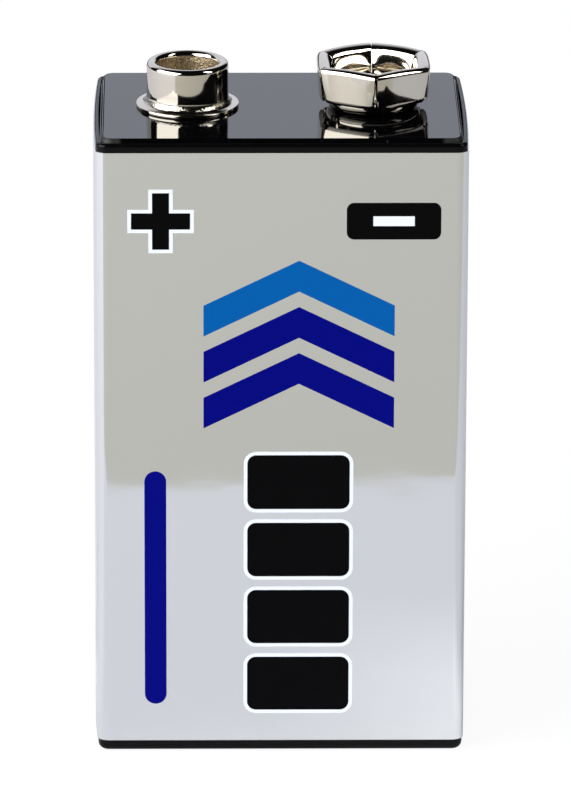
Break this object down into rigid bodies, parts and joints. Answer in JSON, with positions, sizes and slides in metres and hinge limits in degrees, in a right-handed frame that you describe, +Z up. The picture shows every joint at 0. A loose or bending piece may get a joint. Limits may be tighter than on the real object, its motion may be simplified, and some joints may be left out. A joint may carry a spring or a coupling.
{
  "type": "nine volt battery",
  "caption": "Upright rectangular snap-terminal battery: silver film label on a black can, raised black top with a round positive stud and a petalled negative socket.",
  "frame": {"origin": "centre of the standing face, under the middle of the body", "axes": "+Z up to the terminals, broad labelled front towards -Y, positive stud at -X, negative socket at +X"},
  "size_m": [0.0256, 0.017, 0.0475],
  "materials": {
    "can": "gloss",
    "label": "satin",
    "top_cover": "gloss",
    "bottom_cover": "satin",
    "positive_stud": "bright",
    "negative_socket": "bright",
    "positive_rivet": "satin",
    "negative_rivet": "satin",
    "positive_strap": "satin",
    "negative_strap": "satin",
    "ptc_fuse": "matt",
    "insulating_board": "matt",
    "insulating_sleeve": "gloss",
    "cell_front": "satin",
    "cell_middle": "satin",
    "cell_rear": "satin",
    "front_positive_tab": "satin",
    "front_negative_tab": "satin",
    "middle_positive_tab": "satin",
    "middle_negative_tab": "satin",
    "rear_positive_tab": "satin",
    "rear_negative_tab": "satin",
    "front_pad": "matt",
    "rear_pad": "matt",
    "bottom_foam": "matt"
  },
  "bodies": {
    "root": {"can": "can", "label": "label", "top_cover": "top_cover", "bottom_cover": "bottom_cover", "positive_stud": "positive_stud", "negative_socket": "negative_socket", "positive_rivet": "positive_rivet", "negative_rivet": "negative_rivet", "positive_strap": "positive_strap", "negative_strap": "negative_strap", "ptc_fuse": "ptc_fuse", "insulating_board": "insulating_board", "insulating_sleeve": "insulating_sleeve", "cell_front": "cell_front", "cell_middle": "cell_middle", "cell_rear": "cell_rear", "front_positive_tab": "front_positive_tab", "front_negative_tab": "front_negative_tab", "middle_positive_tab": "middle_positive_tab", "middle_negative_tab": "middle_negative_tab", "rear_positive_tab": "rear_positive_tab", "rear_negative_tab": "rear_negative_tab", "front_pad": "front_pad", "rear_pad": "rear_pad", "bottom_foam": "bottom_foam"}
  },
  "joints": []
}
